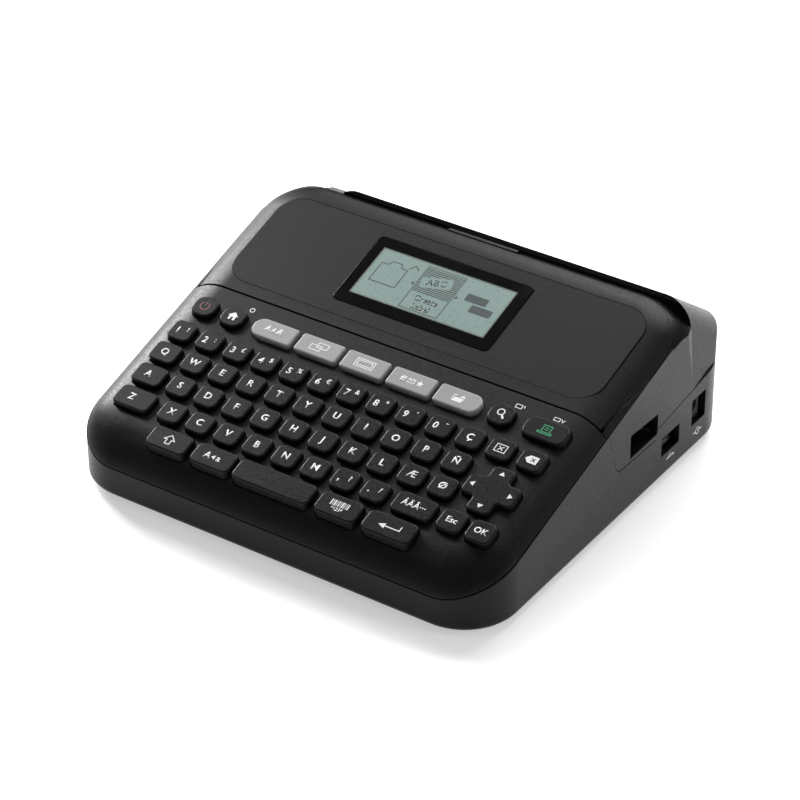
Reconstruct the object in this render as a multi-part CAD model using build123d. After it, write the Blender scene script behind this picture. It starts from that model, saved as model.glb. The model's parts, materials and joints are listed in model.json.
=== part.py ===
"""Desktop label maker: wedge body, keyboard, display hood, hinged rear cover, label printing mechanism.

Frame: +X to the user's right, +Y away from the user, +Z up, millimetres.
Origin: centre of the footprint, on the surface that the rubber feet stand on.
"""
from build123d import *
from math import cos, sin, tan, radians, degrees, atan2, hypot, pi
import os

os.makedirs("parts", exist_ok=True)

# ---------------------------------------------------------------- driving dimensions
WIDTH, DEPTH = 189.0, 178.0
HALF_W, HALF_D = WIDTH / 2, DEPTH / 2
FRONT_R, REAR_R = 22.5, 20.0        # plan corner radii of the body
WALL = 2.2                          # moulded wall thickness
FOOT_H = 2.0                        # rubber feet lift the case by this much
FLOOR = FOOT_H + WALL
CASE_EDGE_R = 3.0                   # rounding round the underside

SLOPE = 17.14                       # tilt of the keyboard and display surface, degrees
PANEL_Z0 = 52.5                     # height of that surface at y = 0
CROWN_R = 22.0                      # rounding of the surface into the sides and front
CROWN_CORNER_R = 29.2               # keeps the rounding even round the corners of the walls
CROWN_HALF_W = 101.2                # the rounding runs out past the walls, which cut it off
CROWN_FRONT, CROWN_BACK = -99.94, 69.8

SEAM_Y = -6.6                       # joint between keyboard panel and display hood
SEAM_GAP = 0.8
JOINT_GAP = 0.4                     # groove between mouldings on the sides
RIM_Y, RIM_R = 53.0, 20.0           # back edge of the display hood and its corners
LEDGE_Y, LEDGE_DROP = 56.0, 0.9     # ledge of the rear housing behind the hood

CREST_Y, CREST_Z = 57.2, 68.8       # crest of the rear cover
BACK_SLOPE = 36.0                   # fall of the rear cover behind the crest, degrees
SHOULDER_R, SHOULDER_DRAFT = 12.0, 4.0
LEFT_END_R = 9.0
BACK_EDGE_R = 9.0

KEY_PITCH = 13.17
KEY_W, KEY_D, KEY_R = 10.3, 9.7, 2.6
KEY_UP, KEY_DOWN = 2.3, 5.6         # above the panel surface, and below it
KEY_GAP, KEY_FOOT = 0.3, 0.5        # a key clears its hole, and its foot is wider than the hole
KEY_CAP_R = 0.7
NUM_S = -34.2                       # the digit row, measured along the slope from y = 0
TOP_S, Q_S, A_S, Z_S, SPACE_S = NUM_S + 14.3, NUM_S - 11.9, NUM_S - 23.84, NUM_S - 36.06, NUM_S - 47.9

COVER_X0, COVER_X1 = -49.2, 79.6    # rear cover, left and right edges
COVER_GAP, COVER_WALL = 0.4, 2.0
HINGE_Y, HINGE_Z, HINGE_R = 87.0, 12.2, 2.0
HINGE_PIN_R, HINGE_BORE_R = 1.0, 1.06
EARS = ((-30, -26), (13, 17), (64, 68))

BAY_X = -68.5                       # outer face of the wall that the label leaves through
BAY_FLOOR_Z = 38.0                  # floor of the open bay beside that wall
TAPE_Z, TAPE_Y0, TAPE_Y1 = 45.0, 59.5, 79.0

PLATE_Y0, PLATE_Y1 = 51.4, 53.4     # mechanism plate
GEAR_M = 0.8
PLATEN_XZ, PLATEN_R, PLATEN_T = (-42.5, 39.6), 4.9, 24
IDLER_XZ, IDLER_T = (-28.62, 23.05), 30
REDUCER_XZ, REDUCER_BIG_T, REDUCER_SMALL_T = (-11.02, 23.05), 36, 14
MOTOR_XZ, PINION_T = (7.02, 16.48), 12
SPINDLE_XZ, SPINDLE_T = (-20.17, 41.18), 20
LAYER_1, LAYER_2 = (45.7, 47.7), (48.3, 50.4)

LEVER_YZ = (60.0, 54.0)             # pivot of the cutter lever
CRANK_YZ = (69.0, 51.0)             # pin that the lever drives the blade with
LEVER_SHAFT_R, LEVER_BORE_R = 1.6, 1.66

NORMAL = Vector(0, -sin(radians(SLOPE)), cos(radians(SLOPE)))
UP_SLOPE = Vector(0, cos(radians(SLOPE)), sin(radians(SLOPE)))


# ---------------------------------------------------------------- helpers
def save(node, shape):
    solids = shape.solids()
    export_step(solids[0] if len(solids) == 1 else Compound(solids), f"parts/{node}.step")


def box(x0, x1, y0, y1, z0, z1):
    return Pos((x0 + x1) / 2, (y0 + y1) / 2, (z0 + z1) / 2) * Box(x1 - x0, y1 - y0, z1 - z0)


def rod_x(y, z, radius, x0, x1):
    return Pos((x0 + x1) / 2, y, z) * Rot(0, 90, 0) * Cylinder(radius, x1 - x0)


def rod_y(xz, radius, y0, y1):
    return Pos(xz[0], (y0 + y1) / 2, xz[1]) * Rot(90, 0, 0) * Cylinder(radius, y1 - y0)


def rod_z(x, y, radius, z0, z1):
    return Pos(x, y, (z0 + z1) / 2) * Cylinder(radius, z1 - z0)


def block(width, depth, radius, low, high):
    return Pos(0, 0, low) * extrude(RectangleRounded(width, depth, radius), high - low)


def side_solid(edges):
    return extrude(make_face(Curve() + edges), 120, dir=(1, 0, 0), both=True)


def polygon_yz(points):
    return Polyline(*[(0, y, z) for y, z in points])


def on_panel(shape, s=0.0, lift=0.0, x=0.0):
    """Put a shape drawn in XY on the sloping surface, s up the slope from y = 0."""
    origin = Vector(x, 0, PANEL_Z0) + UP_SLOPE * s + NORMAL * lift
    return Plane(origin=origin, x_dir=(1, 0, 0), z_dir=NORMAL).location * shape


def plan(half_w, y0, y1, r_front, r_rear):
    face = Pos(0, (y0 + y1) / 2) * Rectangle(2 * half_w, y1 - y0)
    face = fillet(face.vertices().sort_by(Axis.Y)[:2], r_front)
    rear = sorted(face.vertices(), key=lambda v: -v.Y)[:2]
    return fillet(rear, r_rear)


def body_prism(inset=0.0, low=-5.0, high=90.0):
    outline = plan(HALF_W - inset, -HALF_D + inset, HALF_D - inset, FRONT_R - inset, REAR_R - inset)
    return Pos(0, 0, low) * extrude(outline, high - low)


def hood_prism(inset=0.0):
    return extrude(plan(HALF_W - inset, -60.0, RIM_Y - inset, 5.0, RIM_R - inset), 90)


def crown(inset=0.0, drop=0.0):
    """Everything under the sloping surface, rounded over at its edges."""
    outline = Pos(0, (CROWN_FRONT + CROWN_BACK) / 2) * RectangleRounded(
        2 * (CROWN_HALF_W - inset), CROWN_BACK - CROWN_FRONT - 2 * inset, CROWN_CORNER_R - inset
    )
    solid = extrude(outline, -110.0)
    top = solid.faces().sort_by(Axis.Z)[-1]
    return on_panel(fillet(top.edges(), CROWN_R - inset), lift=-inset - drop)


# ---------------------------------------------------------------- dividing surfaces
CASE_SEAM = [(-89.0, 15.1), (-86.0, 17.2), (-82.4, 19.2), (-77.8, 21.4), (-70.4, 24.3), (-60.0, 27.6), (-5.6, 44.3)]
CASE_STEP = [(-0.2, 28.5), (0.6, 26.3), (2.2, 24.8), (4.6, 24.1), (29.2, 23.3), (30.8, 27.3), (76.0, 33.2),
             (95.0, 35.6)]
HOOD_SEAM = [(-7.5, 46.5), (15.0, 51.9), (30.0, 55.7), (42.0, 60.8), (54.0, 66.5)]


def case_side():
    """Everything below the joint between the lower case and what sits on it."""
    lead = polygon_yz([(-100, -10), (-100, 9.7), CASE_SEAM[0]])
    sweep_up = Spline(*[(0, y, z) for y, z in CASE_SEAM[:-1]], tangents=[(0, 0.8, 0.6), (0, 0.956, 0.2936)])
    rest = polygon_yz([CASE_SEAM[-2], CASE_SEAM[-1], *CASE_STEP, (95, -10), (-100, -10)])
    return side_solid([lead, sweep_up, rest])


def hood_side():
    """Everything above the joint between the display hood and the rear housing."""
    seam = Spline(*[(0, y, z) for y, z in HOOD_SEAM])
    return side_solid([seam, polygon_yz([HOOD_SEAM[-1], (60, 90), (-7.5, 90), HOOD_SEAM[0]])])


def hump(inset=0.0):
    """Back of the machine: crest, falling slope with rounded shoulders, upright back wall."""
    fall = radians(BACK_SLOPE)
    crest_z = CREST_Z - inset / cos(fall)
    back_y = HALF_D - inset
    back_z = crest_z - (back_y - CREST_Y) * tan(fall)
    front_y = LEDGE_Y + 0.3 + inset
    crest_y = CREST_Y + inset
    crest_front = crest_z - (crest_y - CREST_Y) * tan(fall)
    outline = make_face(polygon_yz([
        (front_y, -5), (front_y, crest_front - 1.4), (crest_y, crest_front), (back_y, back_z), (back_y, -5),
        (front_y, -5)]))
    length = extrude(outline, 120, dir=(1, 0, 0), both=True)
    knee = [e for e in length.edges() if abs(e.center().Y - back_y) < 0.01 and abs(e.center().Z - back_z) < 0.01]
    length = fillet(knee, BACK_EDGE_R - inset)
    base = box(-120, BAY_X + 20, 50, 95, -5, BAY_FLOOR_Z - inset)
    shoulders = extrude(hump_section(inset, BAY_X + inset, LEFT_END_R), 60, dir=(0, cos(fall), -sin(fall)), both=True)
    return (length & shoulders & body_prism(inset)) + (length & base & body_prism(inset))


def hump_section(inset, left_x, left_r):
    """Cross section at the crest: leaning right shoulder, and a rounded left end at left_x."""
    crest_z = CREST_Z - inset / cos(radians(BACK_SLOPE))
    half = HALF_W - inset
    low = CREST_Z - 38.0
    lean = (crest_z - low) * tan(radians(SHOULDER_DRAFT))
    section = make_face(Polyline((left_x, -80), (left_x, crest_z), (half - lean, crest_z), (half, low), (half, -80),
                                 close=True))
    right = section.vertices().group_by(Axis.Y)[-1].sort_by(Axis.X)[-1]
    section = fillet([right], SHOULDER_R - inset)
    if left_r:
        left = section.vertices().group_by(Axis.Y)[-1].sort_by(Axis.X)[0]
        section = fillet([left], left_r - inset)
    return Plane(origin=(0, CREST_Y, 0), x_dir=(1, 0, 0), z_dir=(0, -1, 0)).location * section


def ledge_lead():
    """The shoulders carried forward and outward, so that they run out on the side walls beside the hood."""
    lead = extrude(hump_section(0, -20, 0), 22, dir=(0.3, -1, 0.31))
    return lead + mirror(lead, Plane.YZ) + box(-120, 120, -120, 45, -5, 90)


# ---------------------------------------------------------------- case parts
def cover_zone(low, grow=0.0):
    return box(COVER_X0 - grow, COVER_X1 + grow, LEDGE_Y, 95, low, 90)


def cover_opening():
    return cover_zone(HINGE_Z - HINGE_R - COVER_GAP, COVER_GAP)


def port_cuts():
    usb = box(91.2, 96, 34.3, 47.6, 12.8, 21.1) + box(84, 96, 36.4, 44.9, 14.2, 18.6)
    jack = box(92.0, 96, 57.0, 67.4, 14.2, 25.8) + rod_x(62.2, 20.0, 4.2, 84, 96)
    return usb + jack


SIDE_RECESS = [(10.6, 25.6), (10.6, 35.9), (30.6, 34.6), (30.6, 25.6)]


def side_recess_cut():
    return extrude(make_face(Polyline(*[(97, y, z) for y, z in SIDE_RECESS], close=True)), 9.0, dir=(-1, 0, 0))


FOOT_XY = [(-74, -68), (74, -68), (-74, 70), (74, 70)]
SCREW_XY = [(-80, -62), (80, -62), (-86, 8), (86, -2), (-84, 46), (-20, -72)]
CASE_BOSS_TOP = {(-80, -62): 13.0, (80, -62): 13.0, (-86, 8): 22.0, (86, -2): 22.0, (-84, 46): 22.0, (-20, -72): 12.0}


def bottom_case():
    outer = body_prism(low=FOOT_H, high=60)
    outer = fillet(outer.faces().sort_by(Axis.Z)[0].edges(), CASE_EDGE_R)
    case = (outer & case_side() & (crown() + box(-120, 120, -40, 95, -5, 90))) - body_prism(WALL, low=FLOOR, high=60)
    for x, y in FOOT_XY:
        case -= rod_z(x, y, 6.2, FOOT_H - 1, FOOT_H + 0.7)
    for x, y in SCREW_XY:
        case += rod_z(x, y, 4.0, FLOOR - 0.5, CASE_BOSS_TOP[(x, y)])
    for x, y in SCREW_XY:
        case -= rod_z(x, y, 1.7, 0, 60)
        case -= rod_z(x, y, 3.2, 0, FLOOR + 3.0)
    for y in (-50, -30, -10):
        case += box(-60, 60, y - 0.8, y + 0.8, FLOOR - 0.5, FLOOR + 3.5)
    case -= cover_opening()
    for x0, x1 in EARS:
        case += rod_x(HINGE_Y, HINGE_Z, HINGE_R, x0, x1) + box(x0, x1, 84.2, HINGE_Y, FLOOR - 0.5, HINGE_Z)
        case -= rod_x(HINGE_Y, HINGE_Z, HINGE_PIN_R, x0 - 1, x1 + 1)
    return case - port_cuts()


def keyboard_panel():
    panel = (crown() & body_prism() & box(-120, 120, -120, SEAM_Y - SEAM_GAP / 2, -5, 90)) - Pos(0, 0, JOINT_GAP) * case_side()
    panel -= crown(WALL) & body_prism(WALL)
    tongue = on_panel(block(150, 7.0, 0.8, -4.2, -2.5) + Pos(0, -3.0) * block(150, 1.6, 0.6, -3.0, -1.5), s=-5.2)
    panel += tongue
    for outlines in KEYS.values():
        for s, x, outline, _ in outlines:
            panel -= on_panel(extrude(offset(outline, KEY_GAP), 12, both=True), s, 0, x)
    return panel


def display_cover():
    hood = crown() & hood_prism() & hood_side() & box(-120, 120, SEAM_Y + SEAM_GAP / 2, 90, -5, 90)
    hood = hood - (crown(WALL) & hood_prism(WALL))
    hood -= on_panel(extrude(INLAY, 4), s=INLAY_S, lift=-0.8)
    return hood - on_panel(extrude(Rectangle(66, 30), 12, both=True), s=LENS_S, x=LENS_X)


def rear_housing():
    ledge = crown(drop=LEDGE_DROP) & body_prism() & box(-120, 120, 39, LEDGE_Y + 0.4, -5, 90) & ledge_lead()
    ledge += crown() & body_prism() & box(-120, 120, SEAM_Y, 40, -5, 90)
    outer = ledge + (hump() & box(-120, 120, LEDGE_Y, 95, -5, 90))
    outer -= Pos(0, 0, JOINT_GAP) * case_side()
    outer -= Pos(0, 0, -JOINT_GAP) * hood_side() & hood_prism(-0.4)
    outer -= box(-120, BAY_X, LEDGE_Y + 0.3, 95, BAY_FLOOR_Z, 90)
    hollow = hood_prism(WALL)
    hollow += crown(WALL, LEDGE_DROP) & body_prism(WALL) & box(-120, 120, -20, LEDGE_Y + 0.4, -5, 90)
    hollow += hump(WALL) & box(-120, 120, LEDGE_Y, 95, -5, 90)
    hollow += box(BAY_X + WALL, HALF_W - 6, LEDGE_Y - 1.0, LEDGE_Y + 6, 5, LEDGE_Y + 4)
    hollow -= box(-120, BAY_X + WALL, LEDGE_Y - 1.9, 95, BAY_FLOOR_Z - WALL, 90)
    housing = outer - hollow - cover_opening()
    housing -= box(BAY_X - 1, BAY_X + 4, TAPE_Y0 - 1, TAPE_Y1 + 1, TAPE_Z - 2.2, TAPE_Z + 2.2)
    housing += box(85.6, 93, 9.2, 32.0, 24.6, 37.6) - Pos(0, 0, JOINT_GAP) * case_side()
    housing -= side_recess_cut()
    housing -= box(LATCH_X[0] - 0.4, LATCH_X[1] + 0.4, RIM_Y + 0.4, LEDGE_Y + 1, 50, 80)
    return housing - rod_x(*LEVER_YZ, LEVER_BORE_R, BAY_X - 1, BAY_X + 3)


def rear_cover():
    skin = hump() - hump(COVER_WALL) - box(-120, 120, 50, 59.6, -5, CREST_Z - 5.0)
    cover = skin & cover_zone(HINGE_Z)
    cover += box(-12.5, 14.5, 58.3, 59.6, 60.0, CREST_Z - 4.0)
    cover += rod_x(HINGE_Y, HINGE_Z, HINGE_R, COVER_X0, COVER_X1)
    cover -= rod_x(HINGE_Y, HINGE_Z, HINGE_BORE_R, COVER_X0 - 1, COVER_X1 + 1)
    for x0, x1 in EARS:
        cover -= box(x0 - 0.4, x1 + 0.4, 80, 95, 0, HINGE_Z + HINGE_R + 0.4)
    return cover


def hinge_pins():
    pins = Part()
    for x0, x1 in EARS:
        pins += rod_x(HINGE_Y, HINGE_Z, HINGE_PIN_R, x0 - 5, x1 + 5)
    return pins


LATCH_X = (-14.7, 16.8)


def cover_latch():
    tab = box(LATCH_X[0], LATCH_X[1], RIM_Y + 0.8, LEDGE_Y, 57.0, 67.5)
    tab = fillet(tab.edges().filter_by(Axis.X).sort_by(Axis.Z)[-2:], 0.6)
    return tab + box(-12, 14, RIM_Y + 0.8, 61.8, 57.0, 58.4) + box(-12, 14, 60.2, 61.8, 58.2, 59.7)


# ---------------------------------------------------------------- keys
def pill(width, depth=KEY_D, radius=KEY_R):
    return RectangleRounded(width, depth, radius)


def round_key():
    return RectangleRounded(KEY_W, KEY_D, 4.1)


def soft_key(left_r, right_r):
    half, depth = 9.6, 4.5
    face = Rectangle(2 * half, 2 * depth)
    left = [v for v in face.vertices() if v.X < 0]
    face = fillet(left, left_r)
    right = [v for v in face.vertices() if v.X > half - 0.01]
    return fillet(right, right_r)


def cursor_outline():
    face = RectangleRounded(21.6, 9.4, 2.2) + RectangleRounded(9.4, 22.0, 2.2)
    inner = [v for v in face.vertices() if abs(abs(v.X) - 4.7) < 0.01 and abs(abs(v.Y) - 4.7) < 0.01]
    return fillet(inner, 1.2)


def row(start, count, s, first=0):
    return [(s, start + KEY_PITCH * i, pill(KEY_W), KEY_CAP_R) for i in range(first, first + count)]


def single(x, s, outline):
    return [(s, x, outline, KEY_CAP_R)]


SOFT_X = (-45.4, -24.2, -3.2, 17.8, 38.7)
KEYS = {
    "power_key": single(-78.2, TOP_S, round_key()),
    "home_key": single(-64.7, TOP_S, round_key()),
    "soft_key_1": single(SOFT_X[0], TOP_S, soft_key(4.2, 1.2)),
    "soft_key_2": single(SOFT_X[1], TOP_S, soft_key(1.2, 1.2)),
    "soft_key_3": single(SOFT_X[2], TOP_S, soft_key(1.2, 1.2)),
    "soft_key_4": single(SOFT_X[3], TOP_S, soft_key(1.2, 1.2)),
    "soft_key_5": single(SOFT_X[4], TOP_S, soft_key(1.2, 4.2)),
    "preview_key": single(57.2, TOP_S, round_key()),
    "print_key": single(76.4, TOP_S, pill(18.2, 9.7, 3.6)),
    "number_keys": row(-79.0, 11, NUM_S),
    "clear_key": single(-79.0 + 11 * KEY_PITCH, NUM_S, pill(KEY_W)),
    "backspace_key": single(-79.0 + 12 * KEY_PITCH, NUM_S, pill(KEY_W)),
    "top_letter_keys": single(-78.45, Q_S, pill(11.8)) + row(-77.68, 10, Q_S, 1),
    "home_letter_keys": single(-77.4, A_S, pill(13.4)) + row(-75.87, 10, A_S, 1),
    "bottom_letter_keys": single(-75.4, Z_S, pill(16.8)) + row(-71.07, 8, Z_S, 1),
    "accent_key": single(51.3, Z_S, pill(17.0)),
    "escape_key": single(67.4, Z_S, pill(KEY_W)),
    "ok_key": single(79.6, Z_S, pill(KEY_W)),
    "shift_key": single(-50.4, SPACE_S, pill(18.0)),
    "caps_key": single(-30.0, SPACE_S, pill(17.8)),
    "space_key": single(-2.5, SPACE_S, pill(34.2)),
    "symbol_key": single(26.3, SPACE_S, pill(18.0)),
    "enter_key": single(48.3, SPACE_S, pill(21.0)),
    "cursor_pad": single(72.9, NUM_S - 18.2, cursor_outline()),
}
INLAY_S, INLAY_DEPTH = 22.95, 48.6
INLAY = RectangleRounded(168, INLAY_DEPTH, 11.0)
LENS_S, LENS_X, LENS_W, LENS_D = 23.6, -0.8, 71.0, 36.0


def key(s, x, outline, cap_r):
    cap = extrude(outline, KEY_UP + KEY_DOWN)
    cap = fillet(cap.faces().sort_by(Axis.Z)[-1].edges(), cap_r)
    foot = extrude(offset(outline, KEY_FOOT), 0.8)
    return on_panel(cap + foot, s, -KEY_DOWN, x)


# ---------------------------------------------------------------- display and electronics
def display_inlay():
    plate = extrude(offset(INLAY, -0.15), 0.8) - Pos(LENS_X, LENS_S - INLAY_S) * block(LENS_W + 0.3, LENS_D + 0.3, 2.15, -1, 3)
    return on_panel(plate, s=INLAY_S, lift=-0.8)


def lcd_window():
    lens = block(LENS_W, LENS_D, 2.0, 0, 1.1)
    lens = fillet(lens.faces().sort_by(Axis.Z)[-1].edges(), 0.25)
    return on_panel(lens, s=LENS_S, lift=-0.8, x=LENS_X)


def lcd_module():
    frame = block(64, 28.6, 1.0, 0, 3.2) - block(60, 24.0, 0.5, 2.6, 4)
    return on_panel(frame + Pos(0, -17) * block(40, 8, 1, 0, 1.0), s=LENS_S, lift=-4.2, x=LENS_X)


MAT_LIFT, BOARD_LIFT = -KEY_DOWN - 2.6, -14.0


def key_mat():
    sheet = Pos(0, -50.0) * block(170, 70, 16, 0, 1.0)
    mat = on_panel(sheet, lift=MAT_LIFT)
    for outlines in KEYS.values():
        for s, x, _, _ in outlines:
            mat += on_panel(Cylinder(2.6, 1.6), s, MAT_LIFT - 0.7, x)
    return mat


def main_board():
    board = Pos(0, -46) * block(160, 66, 3, 0, 1.6)
    chips = Pos(-30, -40) * block(14, 14, 0.5, -1.6, 0.1) + Pos(8, -52) * block(9, 12, 0.5, -1.4, 0.1)
    chips += Pos(40, -36) * block(20, 8, 0.5, -6, 0.1) + Pos(-60, -30) * block(16, 6, 0.5, -5, 0.1)
    return on_panel(board + chips, lift=BOARD_LIFT)


def usb_socket():
    shell = box(80.0, 91.0, 37.0, 44.3, 14.6, 18.2) - box(82.5, 92, 37.5, 43.8, 15.1, 17.7)
    tongue = box(82.0, 90.0, 38.6, 42.7, 16.1, 16.8)
    board = box(79.2, 91.0, 34.0, 47.2, 13.0, 14.6)
    return shell + tongue + board


def dc_jack():
    body = box(80.0, 91.8, 57.6, 66.8, 13.0, 25.2) - rod_x(62.2, 20.0, 3.0, 82.5, 95)
    return body + rod_x(62.2, 20.0, 0.9, 82.0, 90.5) + box(79.2, 91.8, 56.4, 68.0, 11.4, 13.0)


CELL_R, CELL_L = 7.1, 50.5
CELL_Y0 = 23.4
CELL_XZ = [(x, z) for x in (53.4, 69.0) for z in (12.9, 28.4, 43.9)]


def battery_holder():
    holder = box(45.0, 77.4, 19.8, 72.6, FLOOR + 0.1, 52.0)
    for xz in CELL_XZ:
        holder -= rod_y(xz, CELL_R + 0.35, 21.4, 80)
        holder -= rod_y(xz, 2.0, 10, 30)
    return holder


def aa_cells():
    cells = Part()
    for xz in CELL_XZ:
        cells += rod_y(xz, CELL_R, CELL_Y0, CELL_Y0 + 49.2) + rod_y(xz, 2.7, CELL_Y0 + 49.2, CELL_Y0 + CELL_L)
    return cells


def battery_contacts():
    plates = Part()
    for x, z in CELL_XZ:
        plates += rod_y((x, z), 5.6, 21.5, 21.9) + rod_y((x, z), 3.2, 21.8, 23.1) + rod_y((x, z), 1.0, 17.5, 21.6)
    return plates


def case_screws():
    screws = Part()
    for x, y in SCREW_XY:
        head = rod_z(x, y, 2.8, FLOOR + 0.9, FLOOR + 3.0) - Pos(x, y, FLOOR + 1.1) * Box(0.8, 3.4, 1.0)
        head -= Pos(x, y, FLOOR + 1.1) * Box(3.4, 0.8, 1.0)
        screws += head + rod_z(x, y, 1.45, FLOOR + 2.9, CASE_BOSS_TOP[(x, y)] + 3.0)
    return screws


def rubber_feet():
    feet = Part()
    for x, y in FOOT_XY:
        foot = rod_z(x, y, 6.0, 0, FOOT_H + 0.7)
        feet += fillet(foot.faces().sort_by(Axis.Z)[0].edges(), 0.5)
    return feet


# ---------------------------------------------------------------- mechanism
def gear(teeth, y_range, xz, phase, bore):
    """Spur gear about Y; phase is the angle, from +X towards +Z, of one tooth's centre."""
    pitch = GEAR_M * teeth / 2
    root, tip = pitch - 1.2 * GEAR_M, pitch + 0.85 * GEAR_M
    step = 2 * pi / teeth
    points = []
    for i in range(teeth):
        for radius, turn in ((root, -0.29), (tip, -0.1), (tip, 0.1), (root, 0.29)):
            angle = phase + step * (i + turn)
            points.append((xz[0] + radius * cos(angle), y_range[0], xz[1] + radius * sin(angle)))
    face = make_face(Polyline(*points, close=True))
    solid = extrude(face, y_range[1] - y_range[0], dir=(0, 1, 0))
    return solid - rod_y(xz, bore, y_range[0] - 1, y_range[1] + 1)


def mesh_phase(teeth, xz, other_teeth, other_xz, other_phase):
    """Phase that puts a gap of this gear where the other gear has a tooth, on the line of centres."""
    line = atan2(xz[1] - other_xz[1], xz[0] - other_xz[0])
    ahead = (line - other_phase) / (2 * pi / other_teeth)
    return line + pi + (0.5 + ahead) * 2 * pi / teeth


IDLER_PHASE = 0.0
PLATEN_PHASE = mesh_phase(PLATEN_T, PLATEN_XZ, IDLER_T, IDLER_XZ, IDLER_PHASE)
SPINDLE_PHASE = mesh_phase(SPINDLE_T, SPINDLE_XZ, IDLER_T, IDLER_XZ, IDLER_PHASE)
REDUCER_SMALL_PHASE = mesh_phase(REDUCER_SMALL_T, REDUCER_XZ, IDLER_T, IDLER_XZ, IDLER_PHASE)
PINION_PHASE = mesh_phase(PINION_T, MOTOR_XZ, REDUCER_BIG_T, REDUCER_XZ, 0.0)


def drive_motor():
    can = rod_y(MOTOR_XZ, 11.5, 19.5, 42.0)
    can = fillet(can.edges().filter_by(GeomType.CIRCLE), 1.0)
    return can + rod_y(MOTOR_XZ, 3.6, 18.2, 20.5) + rod_y(MOTOR_XZ, 3.0, 41, 43.0) + box(
        MOTOR_XZ[0] - 3, MOTOR_XZ[0] - 1.6, 17, 20.5, 16, 20) + box(MOTOR_XZ[0] + 1.6, MOTOR_XZ[0] + 3, 17, 20.5, 16, 20)


def motor_pinion():
    return gear(PINION_T, LAYER_1, MOTOR_XZ, PINION_PHASE, 0.8) + rod_y(MOTOR_XZ, 0.9, 43.2, 50.6)


def reducer_gear():
    big = gear(REDUCER_BIG_T, LAYER_1, REDUCER_XZ, 0.0, 1.55)
    small = gear(REDUCER_SMALL_T, (LAYER_1[1] - 0.1, LAYER_2[1]), REDUCER_XZ, REDUCER_SMALL_PHASE, 1.55)
    return big + small


def idler_gear():
    return gear(IDLER_T, LAYER_2, IDLER_XZ, IDLER_PHASE, 1.55)


def platen_gear():
    return gear(PLATEN_T, LAYER_2, PLATEN_XZ, PLATEN_PHASE, 1.5)


def platen_roller():
    return rod_y(PLATEN_XZ, PLATEN_R, 59.6, 79.0) + rod_y(PLATEN_XZ, 1.5, 47.6, 83.0)


def ribbon_spindle():
    toothed = gear(SPINDLE_T, LAYER_2, SPINDLE_XZ, SPINDLE_PHASE, 1.4)
    shaft = rod_y(SPINDLE_XZ, 1.5, 47.6, 57.0) + rod_y(SPINDLE_XZ, 2.6, 54.0, 72.0)
    for angle in range(0, 360, 60):
        shaft += Pos(SPINDLE_XZ[0], 63.5, SPINDLE_XZ[1]) * Rot(0, angle, 0) * Pos(2.7, 0, 0) * Box(1.2, 17.0, 0.8)
    return toothed + shaft


PILLARS = ((0.0, 7.4), (21.0, 7.4), (21.0, 32.0))
HEAD_XZ = (-36.6, 51.6)


def mech_chassis():
    frame = box(-49.0, 42.0, PLATE_Y0, PLATE_Y1, FLOOR + 0.1, 56.0)
    frame += box(-4.0, 24.0, 43.0, 45.0, FLOOR + 0.1, 36.0) - rod_y(MOTOR_XZ, 3.2, 40, 46)
    frame += box(-49.0, 42.0, 44.0, PLATE_Y1, FLOOR + 0.1, 6.0)
    for xz in PILLARS:
        frame += rod_y(xz, 1.8, 44.8, PLATE_Y0 + 0.2)
    for xz in (IDLER_XZ, REDUCER_XZ):
        frame += rod_y(xz, 1.5, LAYER_1[0] - 0.3, PLATE_Y0 + 0.2)
    frame += box(-49.0, -36.0, PLATE_Y1 - 0.2, 83.0, FLOOR + 0.1, 7.6)
    frame += box(-48.6, -36.0, 81.0, 83.0, 7.4, 43.6)
    frame += rod_y(HEAD_XZ, 1.5, PLATE_Y1 - 0.2, 59.4)
    frame += box(-44.0, -36.0, PLATE_Y0, PLATE_Y1, 55.8, 57.6) + box(-40.9, -39.5, PLATE_Y1 - 0.2, 63.4, 50.7, 57.6)
    frame -= rod_x(*LEVER_YZ, LEVER_BORE_R, -42, -38)
    for xz in (PLATEN_XZ, SPINDLE_XZ):
        frame -= rod_y(xz, 1.56, 50, 84)
    return frame


def head_carrier():
    arm = box(-46.2, -38.6, 57.6, 77.0, 47.0, 49.6) + box(-39.0, -34.2, 54.2, 59.2, 47.6, 54.0)
    arm += box(-40.0, -36.0, 57.6, 59.2, 47.2, 50.0)
    return arm - rod_y(HEAD_XZ, 1.56, 50, 70)


def print_head():
    return box(-46.0, -39.2, 59.8, 76.8, 45.6, 47.0) + rod_y((-42.5, 45.65), 0.35, 60.4, 76.4)


def cutter_blade():
    edge = polygon_yz([(60.6, 46.9), (79.4, 46.1), (79.4, 49.0), (73.4, 53.4), (62.8, 53.4), (62.8, 51.2),
                       (60.6, 51.2), (60.6, 46.9)])
    blade = Pos(-49.1, 0, 0) * extrude(make_face(edge), 0.5, dir=(1, 0, 0))
    slot = box(-50, -48, 65.6, 70.4, CRANK_YZ[1] - 1.2, CRANK_YZ[1] + 1.2)
    return blade - slot


def fixed_blade():
    return box(-48.45, -47.85, 58.8, 79.6, 7.6, 44.2) + box(-48.45, -45.0, 58.8, 79.6, 7.6, 8.2)


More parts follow.
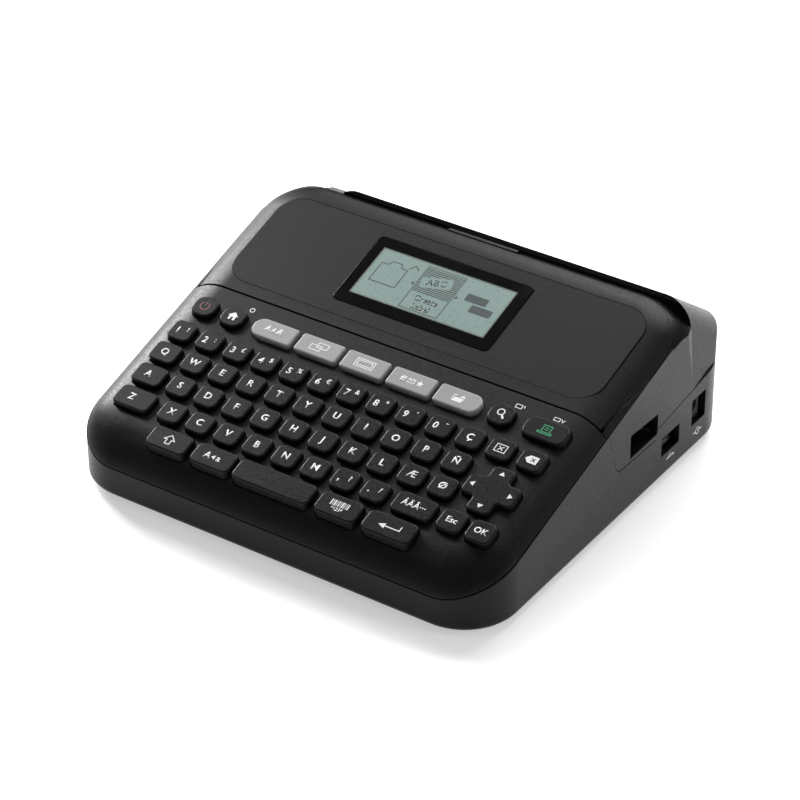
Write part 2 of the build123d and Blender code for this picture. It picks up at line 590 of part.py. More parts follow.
def cutter_lever():
    y, z = LEVER_YZ
    pad = polygon_yz([(y - 2.6, z - 1.5), (y - 2.6, z + 5.5), (y, z + 7.3), (y + 15, z + 1.0), (y + 15, z - 2.2),
                      (y + 3, z - 1.8), (y, z - 3.2), (y - 2.6, z - 1.5)])
    pad = Pos(-84.0, 0, 0) * extrude(make_face(pad), 14.6, dir=(1, 0, 0))
    pad = fillet([e for e in pad.edges().filter_by(Axis.X) if e.center().Z > z + 0.7], 1.0)
    lever = pad + rod_x(y, z, LEVER_SHAFT_R, -75, -39.2)
    reach = hypot(CRANK_YZ[0] - y, CRANK_YZ[1] - z)
    turn = degrees(atan2(CRANK_YZ[1] - z, CRANK_YZ[0] - y))
    crank = Pos(-47.6, y, z) * Rot(turn, 0, 0) * Pos(0, reach / 2, 0) * Box(1.2, reach, 2.6)
    lever += crank + rod_x(y, z, 2.6, -48.2, -47.0) + rod_x(*CRANK_YZ, 1.3, -48.2, -47.0)
    return lever + rod_x(*CRANK_YZ, 0.8, -49.2, -47.5)


def lever_spring():
    coil = sweep(Plane(origin=(2.7, 0, 0), x_dir=(1, 0, 0), z_dir=(0, 1, 0)) * Circle(0.35),
                 path=Helix(1.0, 4.0, 2.7), is_frenet=True)
    return Pos(-45.7, *LEVER_YZ) * Rot(0, 90, 0) * coil


CASSETTE = (-33.5, 42.0, 55.2, 75.5, 8.6, 51.0)


def tape_cassette():
    x0, x1, y0, y1, z0, z1 = CASSETTE
    shell = box(x0, x1, y0, y1, z0, z1)
    shell = fillet(shell.edges().filter_by(Axis.Y), 3.0)
    inner = box(x0 + 1.4, x1 - 1.4, y0 + 1.4, y1 - 1.4, z0 + 1.4, z1 - 1.4)
    shell -= fillet(inner.edges().filter_by(Axis.Y), 2.0)
    shell -= rod_y(SPINDLE_XZ, 4.2, y0 - 1, y0 + 3)
    shell -= box(x0 - 1, x0 + 3, TAPE_Y0 - 2.2, TAPE_Y1 - 5.0, TAPE_Z - 1.2, TAPE_Z + 1.2)
    window = Pos(18, y1, 34) * Rot(90, 0, 0) * block(30, 14, 3, -2, 2)
    return shell - window + rod_y(TAPE_SPOOL_XZ, 3.4, y0 + 1.2, y1 - 1.2)


TAPE_SPOOL_XZ = (18.0, 29.8)


def tape_spool():
    return rod_y(TAPE_SPOOL_XZ, 17.5, 57.2, 73.6) - rod_y(TAPE_SPOOL_XZ, 3.47, 50, 80)


def ribbon_spool():
    return rod_y(SPINDLE_XZ, 5.6, 57.6, 71.6) - rod_y(SPINDLE_XZ, 3.45, 50, 80)


for name, outlines in KEYS.items():
    keys = Part()
    for s, x, outline, cap_r in outlines:
        keys += key(s, x, outline, cap_r)
    save(name, keys)
for builder in (bottom_case, keyboard_panel, display_cover, display_inlay, lcd_window, lcd_module, key_mat,
                rear_housing, rear_cover, hinge_pins, cover_latch, cutter_lever, lever_spring, main_board, usb_socket, dc_jack, battery_holder, aa_cells, battery_contacts,
                case_screws, rubber_feet, drive_motor, motor_pinion, reducer_gear, idler_gear, platen_gear,
                platen_roller, ribbon_spindle, mech_chassis, head_carrier, print_head, cutter_blade, fixed_blade,
                tape_cassette, tape_spool, ribbon_spool):
    save(builder.__name__, builder())
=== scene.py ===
"""Looks of the desktop label maker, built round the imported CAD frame."""

import bmesh
import bpy
import json
import math
from mathutils import Matrix, Vector


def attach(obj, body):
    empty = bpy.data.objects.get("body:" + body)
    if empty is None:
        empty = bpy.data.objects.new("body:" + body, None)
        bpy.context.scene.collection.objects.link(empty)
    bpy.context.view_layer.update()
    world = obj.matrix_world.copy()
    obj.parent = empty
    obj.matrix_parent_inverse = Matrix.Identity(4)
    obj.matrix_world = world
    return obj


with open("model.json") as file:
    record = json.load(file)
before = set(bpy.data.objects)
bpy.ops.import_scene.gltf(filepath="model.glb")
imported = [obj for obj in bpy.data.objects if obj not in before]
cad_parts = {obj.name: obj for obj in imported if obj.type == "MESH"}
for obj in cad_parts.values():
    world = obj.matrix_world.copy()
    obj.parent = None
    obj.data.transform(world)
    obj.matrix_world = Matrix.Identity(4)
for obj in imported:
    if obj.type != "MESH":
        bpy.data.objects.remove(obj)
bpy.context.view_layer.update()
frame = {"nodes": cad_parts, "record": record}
NODES = frame["nodes"]
RECORD = frame["record"]
scene = bpy.context.scene
scene.view_settings.view_transform = "Standard"

# ------------------------------------------------------------------ the sloping surface and the keys, metres
SLOPE = math.radians(17.14)
HALF_WIDTH = 0.0945
PANEL_ORIGIN = Vector((0, 0, 0.0525))
KEY_UP = 0.0023
PITCH = 0.01317
NUM_S = -0.0342
ROWS = {
    "top": NUM_S + 0.0143,
    "num": NUM_S,
    "q": NUM_S - 0.0119,
    "a": NUM_S - 0.02384,
    "z": NUM_S - 0.03606,
    "space": NUM_S - 0.0479,
}
PANEL = Matrix.Translation(PANEL_ORIGIN) @ Matrix.Rotation(SLOPE, 4, "X")


def on_panel(x, s, lift, turn=0.0):
    return PANEL @ Matrix.Translation((x, s, lift)) @ Matrix.Rotation(turn, 4, "Z")


# ------------------------------------------------------------------ materials
def new_material(name):
    mat = bpy.data.materials.new(name)
    mat.use_nodes = True
    nodes, links = mat.node_tree.nodes, mat.node_tree.links
    nodes.clear()
    out = nodes.new("ShaderNodeOutputMaterial")
    shader = nodes.new("ShaderNodeBsdfPrincipled")
    links.new(shader.outputs["BSDF"], out.inputs["Surface"])
    return mat, nodes, links, shader


def noise(nodes, links, coord, scale, detail=2.0, rough=0.5):
    node = nodes.new("ShaderNodeTexNoise")
    node.inputs["Scale"].default_value = scale
    node.inputs["Detail"].default_value = detail
    node.inputs["Roughness"].default_value = rough
    links.new(coord, node.inputs["Vector"])
    return node.outputs["Fac"]


def span(nodes, links, value, low, high, to_low, to_high):
    node = nodes.new("ShaderNodeMapRange")
    for socket, number in (("From Min", low), ("From Max", high), ("To Min", to_low), ("To Max", to_high)):
        node.inputs[socket].default_value = number
    links.new(value, node.inputs["Value"])
    return node.outputs["Result"]


def mix(nodes, links, factor, a, b):
    node = nodes.new("ShaderNodeMix")
    node.data_type = "RGBA"
    links.new(factor, node.inputs[0])
    for socket, value in ((node.inputs[6], a), (node.inputs[7], b)):
        if hasattr(value, "links"):
            links.new(value, socket)
        else:
            socket.default_value = (*value, 1.0)
    return node.outputs[2]


def moulded(name, color, rough, grain=0.00035, relief=0.00002, spread=0.07, wear=0.35, metallic=0.0, coat=0.0,
            bevel=0.00035, specular=0.5):
    """Moulded or cast surface: fine grain, cloudy gloss, paler worn edges."""
    mat, nodes, links, shader = new_material(name)
    coord = nodes.new("ShaderNodeTexCoord").outputs["Object"]
    fine = noise(nodes, links, coord, 1.0 / grain, 2.0, 0.55)
    cloud = noise(nodes, links, coord, 38.0, 4.0, 0.6)
    speck = noise(nodes, links, coord, 0.35 / grain, 1.0, 0.4)
    dark = [c * 0.95 for c in color]
    light = [min(c * 1.05, 1.0) for c in color]
    base = mix(nodes, links, span(nodes, links, cloud, 0.35, 0.65, 0.0, 1.0), dark, light)
    edge = span(nodes, links, nodes.new("ShaderNodeNewGeometry").outputs["Pointiness"], 0.53, 0.62, 0.0, wear)
    worn = [min(c * 1.9 + 0.015, 1.0) for c in color]
    links.new(mix(nodes, links, edge, base, worn), shader.inputs["Base Color"])
    links.new(span(nodes, links, speck, 0.3, 0.7, rough - spread, rough + spread), shader.inputs["Roughness"])
    shader.inputs["Metallic"].default_value = metallic
    shader.inputs["Specular IOR Level"].default_value = specular
    shader.inputs["Coat Weight"].default_value = coat
    bump = nodes.new("ShaderNodeBump")
    bump.inputs["Strength"].default_value = 1.0
    bump.inputs["Distance"].default_value = relief
    links.new(fine, bump.inputs["Height"])
    if bevel:
        soft = nodes.new("ShaderNodeBevel")
        soft.samples = 4
        soft.inputs["Radius"].default_value = bevel
        links.new(soft.outputs["Normal"], bump.inputs["Normal"])
    links.new(bump.outputs["Normal"], shader.inputs["Normal"])
    return mat


def brushed(name, color, rough=0.32, axis=2):
    """Sheet or turned metal with fine lines along one axis."""
    mat, nodes, links, shader = new_material(name)
    coord = nodes.new("ShaderNodeTexCoord").outputs["Object"]
    mapping = nodes.new("ShaderNodeMapping")
    scale = [2600.0, 2600.0, 2600.0]
    scale[axis] = 60.0
    mapping.inputs["Scale"].default_value = scale
    links.new(coord, mapping.inputs["Vector"])
    lines = noise(nodes, links, mapping.outputs["Vector"], 1.0, 3.0)
    cloud = noise(nodes, links, coord, 55.0, 3.0)
    links.new(mix(nodes, links, cloud, [c * 0.8 for c in color], [min(c * 1.1, 1) for c in color]),
              shader.inputs["Base Color"])
    links.new(span(nodes, links, lines, 0.3, 0.7, rough - 0.08, rough + 0.1), shader.inputs["Roughness"])
    shader.inputs["Metallic"].default_value = 1.0
    bump = nodes.new("ShaderNodeBump")
    bump.inputs["Distance"].default_value = 0.00001
    links.new(lines, bump.inputs["Height"])
    links.new(bump.outputs["Normal"], shader.inputs["Normal"])
    return mat


def printed(name, color, rough=0.45, low=0.92, high=1.05):
    """Ink or film: nearly even, with slight mottling."""
    mat, nodes, links, shader = new_material(name)
    coord = nodes.new("ShaderNodeTexCoord").outputs["Object"]
    cloud = noise(nodes, links, coord, 900.0, 2.0)
    links.new(mix(nodes, links, cloud, [c * low for c in color], [min(c * high, 1) for c in color]),
              shader.inputs["Base Color"])
    links.new(span(nodes, links, cloud, 0.3, 0.7, rough - 0.05, rough + 0.05), shader.inputs["Roughness"])
    bump = nodes.new("ShaderNodeBump")
    bump.inputs["Distance"].default_value = 0.000006
    links.new(cloud, bump.inputs["Height"])
    links.new(bump.outputs["Normal"], shader.inputs["Normal"])
    return mat


MATERIALS = {
    "case_plastic": moulded(
        "case_plastic", (0.0045, 0.0045, 0.0048), 0.36, grain=0.0003, relief=0.000008, specular=0.17),
    "panel_plastic": moulded(
        "panel_plastic", (0.0048, 0.0048, 0.0050), 0.38, grain=0.0003, relief=0.000010, specular=0.17),
    "housing_plastic": moulded(
        "housing_plastic", (0.0045, 0.0045, 0.0048), 0.34, grain=0.0003, relief=0.000008, specular=0.17),
    "inlay_plastic": moulded(
        "inlay_plastic", (0.0042, 0.0042, 0.0045), 0.42, grain=0.0003, relief=0.000012, specular=0.15),
    "lens": moulded(
        "lens", (0.003, 0.003, 0.0035), 0.12, grain=0.004, relief=0.000002, spread=0.03, wear=0.1,
        specular=0.15),
    "display": moulded("display", (0.36, 0.50, 0.44), 0.35, grain=0.0006, relief=0.000004),
    "key_black": moulded(
        "key_black", (0.0042, 0.0042, 0.0045), 0.36, grain=0.0003, relief=0.000008, wear=0.5, specular=0.17),
    "key_grey": moulded("key_grey", (0.30, 0.30, 0.31), 0.42, grain=0.0004, relief=0.000014, wear=0.3),
    "rubber": moulded("rubber", (0.020, 0.020, 0.020), 0.75, grain=0.0003, relief=0.00003),
    "silicone": moulded("silicone", (0.33, 0.33, 0.32), 0.6, grain=0.0006, relief=0.00002),
    "circuit_board": moulded(
        "circuit_board", (0.012, 0.11, 0.045), 0.32, grain=0.0012, relief=0.00002, coat=0.3),
    "steel": brushed("steel", (0.56, 0.56, 0.57)),
    "contact_metal": brushed("contact_metal", (0.78, 0.68, 0.45), 0.25),
    "gear_plastic": moulded("gear_plastic", (0.62, 0.61, 0.57), 0.4, grain=0.0005, relief=0.00001),
    "roller_rubber": moulded("roller_rubber", (0.03, 0.03, 0.03), 0.7, grain=0.00025, relief=0.00003),
    "frame_steel": brushed("frame_steel", (0.46, 0.46, 0.47), 0.38, 0),
    "ceramic": moulded("ceramic", (0.62, 0.58, 0.50), 0.2, grain=0.0006, relief=0.000006),
    "cell_jacket": moulded(
        "cell_jacket", (0.05, 0.10, 0.22), 0.28, grain=0.002, relief=0.000008, coat=0.4),
    "cassette_plastic": moulded(
        "cassette_plastic", (0.055, 0.055, 0.06), 0.45, grain=0.0005, relief=0.00002),
    "tape": moulded("tape", (0.80, 0.80, 0.78), 0.25, grain=0.0015, relief=0.00001),
    "holder_plastic": moulded(
        "holder_plastic", (0.032, 0.032, 0.034), 0.5, grain=0.0005, relief=0.00002),
}
slot_of = {entry["node"]: entry["material_slot"] for entry in RECORD["subparts"]}
for name, obj in NODES.items():
    if not obj.material_slots:
        obj.data.materials.append(MATERIALS[slot_of[name]])
    for entry in obj.material_slots:
        entry.material = MATERIALS[slot_of[name]]

INK = printed("ink_white", (0.86, 0.86, 0.86))
INK_SOFT = printed("ink_pale", (0.88, 0.88, 0.88))
INK_GREEN = printed("ink_green", (0.0, 0.30, 0.12))
INK_RED = printed("ink_red", (0.22, 0.05, 0.06))
SCREEN = printed("screen", (0.22, 0.31, 0.29), 0.30, 0.985, 1.01)
# darker rim colour: painted shade, standing in for the shadow at the edges of the recessed LCD window
SCREEN_EDGE_SHADE = printed("screen_edge_shade", (0.10, 0.12, 0.115), 0.35)
PIXEL = printed("screen_pixel", (0.035, 0.05, 0.05), 0.35)


# ------------------------------------------------------------------ flat shapes and legends
class Sheet:
    """Thin raised print, gathered into one mesh: each outline becomes a 0.04 mm thick plate."""

    def __init__(self, name, body, slot, material, thick=0.00004):
        self.name, self.body, self.slot, self.material, self.thick = name, body, slot, material, thick
        self.bm = bmesh.new()

    def _close(self, faces, place):
        """Extrudes flat faces up and moves them into place."""
        solid = bmesh.ops.extrude_face_region(self.bm, geom=faces)
        top = [v for v in solid["geom"] if isinstance(v, bmesh.types.BMVert)]
        bmesh.ops.translate(self.bm, verts=top, vec=(0, 0, self.thick))
        verts = {v for f in faces for v in f.verts} | set(top)
        bmesh.ops.transform(self.bm, matrix=place, verts=list(verts))
        bmesh.ops.recalc_face_normals(self.bm, faces=list({f for v in verts for f in v.link_faces}))

    def outline(self, points, place):
        face = self.bm.faces.new([self.bm.verts.new((x, y, 0)) for x, y in points])
        self._close([face], place)

    def stroke(self, points, width, place, closed=False):
        """Line of even width with mitred corners."""
        pts = [Vector((x, y)) for x, y in points]
        count = len(pts)
        left, right = [], []
        for i, p in enumerate(pts):
            before = pts[i - 1] if closed or i else None
            after = pts[(i + 1) % count] if closed or i < count - 1 else None
            pairs = ((p, before), (after, p))
            dirs = [(q - r).normalized() for q, r in pairs if q is not None and r is not None]
            normal = Vector((0, 0))
            for d in dirs:
                normal += Vector((-d.y, d.x))
            normal.normalize()
            scale = 1.0 / max(normal.dot(Vector((-dirs[0].y, dirs[0].x))), 0.4)
            left.append(p + normal * width / 2 * scale)
            right.append(p - normal * width / 2 * scale)
        a = [self.bm.verts.new((*p, 0)) for p in left]
        b = [self.bm.verts.new((*p, 0)) for p in right]
        faces = []
        for i in range(count if closed else count - 1):
            j = (i + 1) % count
            faces.append(self.bm.faces.new((a[i], b[i], b[j], a[j])))
        self._close(faces, place)

    def text(self, body, size, place, bold=0.0, align="CENTER"):
        curve = bpy.data.curves.new("legend", "FONT")
        curve.body, curve.size, curve.align_x, curve.align_y = body, size, align, "CENTER"
        curve.offset = bold
        curve.resolution_u = 3
        obj = bpy.data.objects.new("legend", curve)
        mesh = bpy.data.meshes.new_from_object(obj)
        before = set(self.bm.verts), set(self.bm.faces)
        self.bm.from_mesh(mesh)
        fresh = [v for v in self.bm.verts if v not in before[0]]
        bmesh.ops.remove_doubles(self.bm, verts=fresh, dist=1e-7)
        faces = [f for f in self.bm.faces if f not in before[1]]
        self._close(faces, place)
        bpy.data.objects.remove(obj)
        bpy.data.curves.remove(curve)
        bpy.data.meshes.remove(mesh)

    def done(self):
        mesh = bpy.data.meshes.new(self.name)
        self.bm.to_mesh(mesh)
        self.bm.free()
        mesh.materials.append(self.material)
        obj = bpy.data.objects.new(self.name, mesh)
        scene.collection.objects.link(obj)
        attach(obj, self.body)
        return obj


def rect(w, h, cx=0.0, cy=0.0, r=0.0, steps=4):
    if not r:
        left, right, low, high = cx - w / 2, cx + w / 2, cy - h / 2, cy + h / 2
        return [(left, low), (right, low), (right, high), (left, high)]
    points = []
    for sx, sy, start in ((1, -1, -90), (1, 1, 0), (-1, 1, 90), (-1, -1, 180)):
        for i in range(steps + 1):
            a = math.radians(start + 90 * i / steps)
            points.append((cx + sx * (w / 2 - r) + r * math.cos(a), cy + sy * (h / 2 - r) + r * math.sin(a)))
    return points


def ring(radius, cx=0.0, cy=0.0, start=0.0, end=360.0, steps=24):
    angles = [math.radians(start + (end - start) * i / steps) for i in range(steps + 1)]
    return [(cx + radius * math.cos(a), cy + radius * math.sin(a)) for a in angles]


MM = 0.001
TOP = KEY_UP + 0.00001
BOLD = 0.00009


def mm(points):
    return [(x * MM, y * MM) for x, y in points]


def key_spots(start, count, row, first=0):
    return [(start + PITCH * i, ROWS[row]) for i in range(first, first + count)]


def letters(node, spots, words, size=0.0042):
    sheet = Sheet("legends_" + node, node, "key_black", INK)
    for (x, s), word in zip(spots, words):
        sheet.text(word, size, on_panel(x, s, TOP), BOLD)
    return sheet


numbers = Sheet("legends_number_keys", "number_keys", "key_black", INK)
NUMBER_WORDS = ["1!", "2:", "3£", "4$", "5%", "6€", "7&", "8*", "9'", "0¯", "Ç"]
for (x, s), word in zip(key_spots(-0.0790, 11, "num"), NUMBER_WORDS):
    if len(word) == 1:
        numbers.text(word, 0.0042, on_panel(x, s, TOP), BOLD)
    else:
        numbers.text(word[0], 0.0042, on_panel(x - 0.0017, s - 0.0004, TOP), BOLD)
        numbers.text(word[1], 0.0030, on_panel(x + 0.0023, s + 0.0010, TOP), BOLD * 0.5)
numbers.done()
letters("top_letter_keys", [(-0.0786, ROWS["q"])] + key_spots(-0.07768, 10, "q", 1),
        ["Q", "W", "E", "R", "T", "Y", "U", "I", "O", "P", "Ñ"]).done()
letters("home_letter_keys", [(-0.0778, ROWS["a"])] + key_spots(-0.07587, 10, "a", 1),
        ["A", "S", "D", "F", "G", "H", "J", "K", "L", "Æ", "Ø"]).done()
low = letters("bottom_letter_keys", [(-0.0768, ROWS["z"])] + key_spots(-0.07107, 6, "z", 1),
              ["Z", "X", "C", "V", "B", "N", "M"])
for i, (a, b) in ((7, (",", "?")), (8, (".", "/"))):
    x = -0.07107 + PITCH * i
    low.text(a, 0.0046, on_panel(x - 0.0022, ROWS["z"], TOP), BOLD)
    low.text(b, 0.0034, on_panel(x + 0.0020, ROWS["z"] + 0.0006, TOP), BOLD * 0.5)
low.done()


def legend(node, x, row, material=INK, slot="key_black"):
    sheet = Sheet("legend_" + node, node, slot, material)
    return sheet, on_panel(x * MM, ROWS[row] if isinstance(row, str) else row, TOP)


sheet, at = legend("home_key", -64.7, "top")
sheet.outline(mm([(-2.3, 0.1), (-1.5, 0.1), (-1.5, -1.9), (-0.5, -1.9), (-0.5, -0.5), (0.5, -0.5),
                  (0.5, -1.9), (1.5, -1.9), (1.5, 0.1), (2.3, 0.1), (0.0, 2.1)]), at)
sheet.done()
sheet, at = legend("power_key", -78.2, "top", INK_RED)
sheet.stroke(mm(ring(1.9, 0, 0, 125, 415)), 0.4 * MM, at)
sheet.stroke(mm([(0, 0.4), (0, 2.3)]), 0.4 * MM, at)
sheet.done()
sheet, at = legend("preview_key", 57.2, "top")
sheet.stroke(mm(ring(1.35, -0.5, 0.8, 0, 345)), 0.45 * MM, at, True)
sheet.stroke(mm([(0.4, -0.2), (1.7, -1.9)]), 0.8 * MM, at)
sheet.done()
sheet, at = legend("print_key", 76.4, "top", INK_GREEN)
sheet.stroke(mm([(-1.6, -1.2), (-1.6, 2.0), (1.8, 2.0), (1.8, -1.2)]), 0.4 * MM, at)
sheet.stroke(mm([(-2.9, -1.9), (-2.9, -1.2), (2.9, -1.2), (2.9, -1.9)]), 0.4 * MM, at, True)
for y in (0.9, 0.0):
    sheet.stroke(mm([(-0.8, y), (1.0, y)]), 0.35 * MM, at)
sheet.done()
sheet, at = legend("clear_key", -79.0 + 11 * 13.17, "num")
sheet.stroke(mm(rect(4.4, 3.4)), 0.35 * MM, at, True)
sheet.stroke(mm([(-1.0, -0.9), (1.0, 0.9)]), 0.35 * MM, at)
sheet.stroke(mm([(-1.0, 0.9), (1.0, -0.9)]), 0.35 * MM, at)
sheet.done()
sheet, at = legend("backspace_key", -79.0 + 12 * 13.17, "num")
sheet.outline(mm([(-2.8, 0.0), (-1.2, -1.7), (2.4, -1.7), (2.4, 1.7), (-1.2, 1.7)]), at)
sheet.done()
cross = Sheet("legend_backspace_cross", "backspace_key", "key_black", MATERIALS["key_black"])
over = at @ Matrix.Translation((0, 0, 0.00004))
cross.stroke(mm([(-0.2, -0.8), (1.4, 0.8)]), 0.35 * MM, over)
cross.stroke(mm([(-0.2, 0.8), (1.4, -0.8)]), 0.35 * MM, over)
cross.done()
sheet, at = legend("cursor_pad", 72.9, NUM_S - 0.0182)
for turn in range(4):
    spin = at @ Matrix.Rotation(math.radians(90 * turn), 4, "Z") @ Matrix.Translation((0.0080, 0, 0))
    sheet.outline(mm([(1.0, 0.0), (-0.8, 1.2), (-0.8, -1.2)]), spin)
sheet.done()
WORD_KEYS = (
    ("escape_key", 67.4, "z", "Esc", 0.0036),
    ("ok_key", 79.6, "z", "OK", 0.0037),
    ("accent_key", 51.3, "z", "ÁÄÂ···", 0.0037),
    ("caps_key", -30.0, "space", "A◂a", 0.0040),
)
for node, x, row, word, size in WORD_KEYS:
    sheet, at = legend(node, x, row)
    if node == "caps_key":
        sheet.text("A", size, at @ Matrix.Translation((-0.0026, 0, 0)), BOLD)
        sheet.text("a", size, at @ Matrix.Translation((0.0024, 0, 0)), BOLD)
        sheet.outline(mm([(-0.9, 0.0), (0.7, 1.0), (0.7, -1.0)]), at)
    else:
        sheet.text(word, size, at, BOLD * 0.8)
    sheet.done()
sheet, at = legend("shift_key", -50.4, "space")
sheet.stroke(mm([(-1.0, -2.0), (-1.0, 0.0), (-2.3, 0.0), (0.0, 2.2), (2.3, 0.0), (1.0, 0.0), (1.0, -2.0)]),
             0.4 * MM, at, True)
sheet.done()
sheet, at = legend("enter_key", 48.3, "space")
sheet.stroke(mm([(4.6, 1.5), (4.6, -0.5), (-1.8, -0.5)]), 0.45 * MM, at)
sheet.outline(mm([(-4.4, -0.5), (-1.6, -1.7), (-1.6, 0.7)]), at)
sheet.done()
sheet, at = legend("symbol_key", 26.3, "space")
for i, w in enumerate((0.5, 0.25, 0.6, 0.25, 0.45, 0.25, 0.6, 0.3, 0.25, 0.5)):
    sheet.outline(mm(rect(w, 2.6, -3.6 + i * 0.8, 1.0)), at)
sheet.text("*123*", 0.0021, at @ Matrix.Translation((0, -0.0016, 0)), BOLD * 0.5)
sheet.done()

# soft keys
soft = (-45.4, -24.2, -3.2, 17.8, 38.7)
sheet, at = legend("soft_key_1", soft[0], "top", INK_SOFT, "key_grey")
for x, size in ((-2.6, 0.0042), (0.1, 0.0032), (2.8, 0.0046)):
    sheet.text("A", size, at @ Matrix.Translation((x * MM, 0, 0)), BOLD)
sheet.done()
sheet, at = legend("soft_key_2", soft[1], "top", INK_SOFT, "key_grey")
sheet.stroke(mm(rect(4.6, 2.4, -1.3, -0.6)), 0.35 * MM, at, True)
sheet.stroke(mm(rect(4.6, 2.4, 1.3, 0.9)), 0.35 * MM, at, True)
sheet.done()
sheet, at = legend("soft_key_3", soft[2], "top", INK_SOFT, "key_grey")
sheet.stroke(mm(rect(8.0, 3.8)), 0.35 * MM, at, True)
sheet.stroke(mm(rect(6.2, 2.2)), 0.35 * MM, at, True)
sheet.done()
sheet, at = legend("soft_key_4", soft[3], "top", INK_SOFT, "key_grey")
sheet.text("#", 0.0040, at @ Matrix.Translation((-0.0036, 0, 0)), BOLD)
sheet.stroke(mm(rect(2.8, 2.0)), 0.3 * MM, at, True)
sheet.stroke(mm([(-1.4, 1.0), (0, -0.1), (1.4, 1.0)]), 0.3 * MM, at)
star = [((3.7 + r * math.cos(math.radians(90 + 36 * i))), r * math.sin(math.radians(90 + 36 * i)))
        for i, r in enumerate([1.6, 0.7] * 5)]
sheet.outline(mm(star), at)
sheet.done()
sheet, at = legend("soft_key_5", soft[4], "top", INK_SOFT, "key_grey")
sheet.outline(mm([(-2.4, -1.8), (1.6, -1.8), (2.4, 0.2), (-1.6, 0.2)]), at)
sheet.stroke(mm([(-2.4, -1.4), (-2.4, 1.2), (-1.0, 1.2)]), 0.35 * MM, at)
sheet.outline(mm([(0.2, 0.6), (1.4, 1.8), (2.6, 0.6)]), at)
sheet.done()

# printed symbols on the panel, above three of the keys
marks = Sheet("panel_marks", "housing", "panel_plastic", INK)
at = on_panel(-0.0610, ROWS["top"] + 0.0072, 0.00001)
marks.stroke(mm(ring(0.95, 0, 0, 0, 345)), 0.35 * MM, at, True)
at = on_panel(0.0600, ROWS["top"] + 0.0074, 0.00001)
marks.stroke(mm(rect(2.6, 1.7)), 0.3 * MM, at, True)
marks.stroke(mm([(2.2, 1.0), (2.2, -0.2)]), 0.35 * MM, at)
at = on_panel(0.0768, ROWS["top"] + 0.0076, 0.00001)
marks.stroke(mm(rect(2.4, 1.4, -0.6, 0)), 0.3 * MM, at, True)
marks.stroke(mm([(1.2, 0.7), (1.9, -0.6), (2.6, 0.7)]), 0.3 * MM, at)
marks.done()

# small symbols painted under the two inlets
for name, y, z in (("usb_symbol", 41.0, 9.6), ("power_symbol", 62.2, 9.6)):
    sheet = Sheet(name, "housing", "case_plastic", INK)
    quarter = math.radians(90)
    at = Matrix.Translation((HALF_WIDTH, y * MM, z * MM)) @ Matrix.Rotation(quarter, 4, "Z")
    at = at @ Matrix.Rotation(quarter, 4, "X")
    if name == "usb_symbol":
        sheet.stroke(mm([(-2.6, 0), (2.6, 0)]), 0.3 * MM, at)
        sheet.stroke(mm([(-1.2, 0), (0, 1.1), (1.2, 1.1)]), 0.3 * MM, at)
        sheet.outline(mm([(3.4, 0), (2.4, 0.6), (2.4, -0.6)]), at)
    else:
        sheet.stroke(mm(ring(1.4, 0, 0, 30, 330)), 0.3 * MM, at)
        sheet.stroke(mm([(-3.2, 0), (-1.4, 0)]), 0.3 * MM, at)
        sheet.stroke(mm([(0, 0), (3.2, 0)]), 0.3 * MM, at)
    sheet.done()

# ------------------------------------------------------------------ display picture
LENS_AT = on_panel(-0.0008, 0.0236, 0.0003)
screen = Sheet("display_screen", "housing", "display", SCREEN, 0.00006)
screen.outline(mm(rect(60.0, 24.4, 0, 0.0, 0.4)), LENS_AT)
screen.done()
# dark ring round the screen sheet is painted shade where the recessed window edge would cast shadow; the
# screen itself lies flat on the lens
edge = Sheet("display_edge_shade", "housing", "display", SCREEN_EDGE_SHADE, 0.00009)
edge.stroke(mm(rect(60.6, 25.0)), 0.5 * MM, LENS_AT, True)
edge.done()
pixels = Sheet("display_pixels", "housing", "display", PIXEL, 0.00002)
at = LENS_AT @ Matrix.Translation((0, 0, 0.00006))
pixels.stroke(mm([(-27.0, -4.2), (-27.0, 5.6), (-24.0, 5.6), (-23.0, 7.6), (-19.0, 7.6), (-18.0, 5.6),
                  (-15.2, 5.6), (-15.2, -4.2)]), 0.45 * MM, at, True)
pixels.stroke(mm([(-15.2, 6.6), (-13.2, 9.0), (-11.0, 7.2)]), 0.5 * MM, at)
pixels.stroke(mm([(-8.6, -11.4), (-8.6, 11.0), (8.6, 11.0), (8.6, -11.4)]), 0.4 * MM, at, True)
for i in range(14):
    y = -2.0 + i * 0.92
    pixels.outline(mm(rect(16.4, 0.5, 0, y)), at)
pixels.outline(mm([(-9.4, -0.2), (-10.8, 0.9), (-9.4, 2.0)]), at)
pixels.outline(mm([(9.4, -0.2), (10.8, 0.9), (9.4, 2.0)]), at)
pixels.text("Create", 0.0038, at @ Matrix.Translation((0, -0.0052, 0)), BOLD)
pixels.text("Label", 0.0038, at @ Matrix.Translation((0, -0.0093, 0)), BOLD)
for x, y in ((14.0, 3.0), (18.5, -1.6)):
    pixels.outline(mm(rect(9.5, 3.8, x + 4, y, 0.5)), at)
pixels.done()
card = Sheet("display_card", "housing", "display", SCREEN, 0.00002)
over = LENS_AT @ Matrix.Translation((0, 0, 0.00008))
TILT = Matrix.Rotation(math.radians(14), 4, "Z")
card.outline(mm(rect(13.0, 5.6, 0, 4.4, 1.2)), over @ TILT)
card.done()
word = Sheet("display_word", "housing", "display", PIXEL, 0.00002)
word.text("ABC", 0.0044, LENS_AT @ Matrix.Translation((-0.0010, 0.0042, 0.0001)) @ TILT, BOLD * 0.5)
word.done()

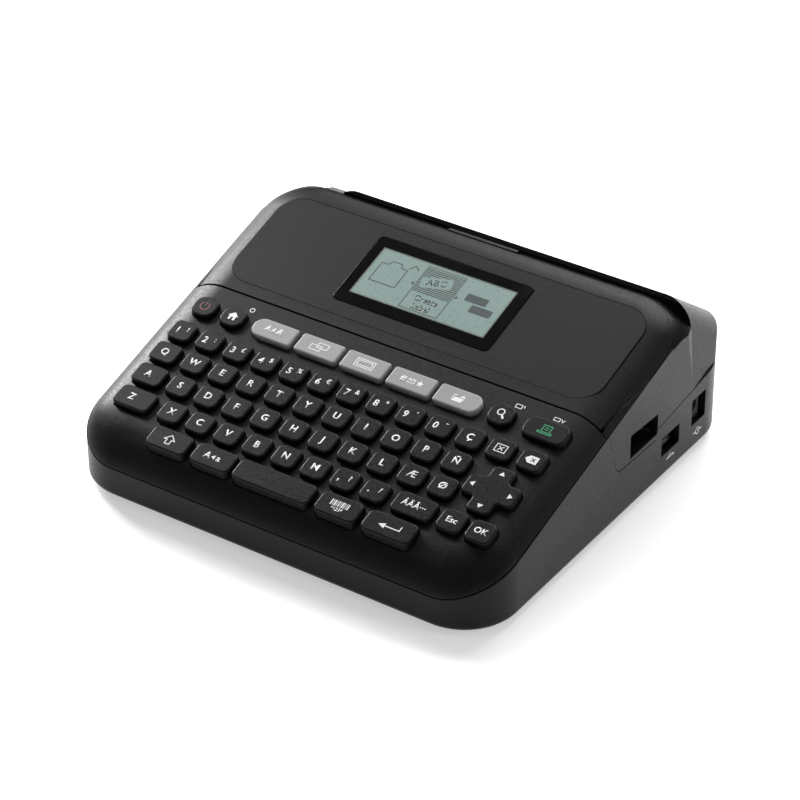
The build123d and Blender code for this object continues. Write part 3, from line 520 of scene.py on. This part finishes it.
# ------------------------------------------------------------------ camera
AZIMUTH, ELEVATION, ROLL = math.radians(34.456), math.radians(32.812), -0.008
TARGET = Vector((0.0, 0.0, 0.037))
DISTANCE = 1.156527
level = math.cos(ELEVATION)
back = Vector((math.sin(AZIMUTH) * level, -math.cos(AZIMUTH) * level, math.sin(ELEVATION)))
right = (-back).cross(Vector((0, 0, 1))).normalized()
up = right.cross(-back)
turned_right = math.cos(ROLL) * right + math.sin(ROLL) * up
turned_up = -math.sin(ROLL) * right + math.cos(ROLL) * up
camera_data = bpy.data.cameras.new("camera")
camera_data.sensor_width = 36.0
camera_data.lens = 137.19
camera_data.shift_x = -0.0024
camera_data.shift_y = -0.0381
camera_data.clip_start, camera_data.clip_end = 0.05, 20.0
camera = bpy.data.objects.new("camera", camera_data)
scene.collection.objects.link(camera)
basis = Matrix((turned_right, turned_up, back)).transposed().to_4x4()
camera.matrix_world = Matrix.Translation(TARGET + back * DISTANCE) @ basis
scene.camera = camera


# ------------------------------------------------------------------ floor and light
def flat_floor():
    mesh = bpy.data.meshes.new("floor")
    mesh.from_pydata([(-6, -6, 0), (6, -6, 0), (6, 6, 0), (-6, 6, 0)], [], [(0, 1, 2, 3)])
    floor = bpy.data.objects.new("floor", mesh)
    scene.collection.objects.link(floor)
    mat, nodes, links, shader = new_material("floor_paper")
    shader.inputs["Base Color"].default_value = (0.97, 0.97, 0.97, 1)
    shader.inputs["Roughness"].default_value = 0.9
    shader.inputs["Specular IOR Level"].default_value = 0.1
    shader.inputs["Emission Color"].default_value = (1.0, 1.0, 1.0, 1.0)
    shader.inputs["Emission Strength"].default_value = 0.45
    mesh.materials.append(mat)


def softbox(name, place, aim, width, height, power):
    light = bpy.data.lights.new(name, "AREA")
    light.shape, light.size, light.size_y, light.energy = "RECTANGLE", width, height, power
    obj = bpy.data.objects.new(name, light)
    scene.collection.objects.link(obj)
    obj.location = place
    obj.rotation_mode = "QUATERNION"
    obj.rotation_quaternion = (Vector(aim) - Vector(place)).to_track_quat("-Z", "Y")


flat_floor()
world = bpy.data.worlds.new("studio")
world.use_nodes = True
world.node_tree.nodes["Background"].inputs["Color"].default_value = (1.0, 1.0, 1.0, 1.0)
world.node_tree.nodes["Background"].inputs["Strength"].default_value = 0.22
scene.world = world
softbox("left_light", (-1.4, 0.5, 0.75), (0, 0, 0.03), 0.35, 1.1, 30)
softbox("top_light", (-0.2, 1.1, 1.3), (0, 0, 0), 1.3, 0.8, 24)
softbox("right_light", (1.3, 0.2, 0.5), (0, 0, 0.03), 0.3, 0.9, 3)
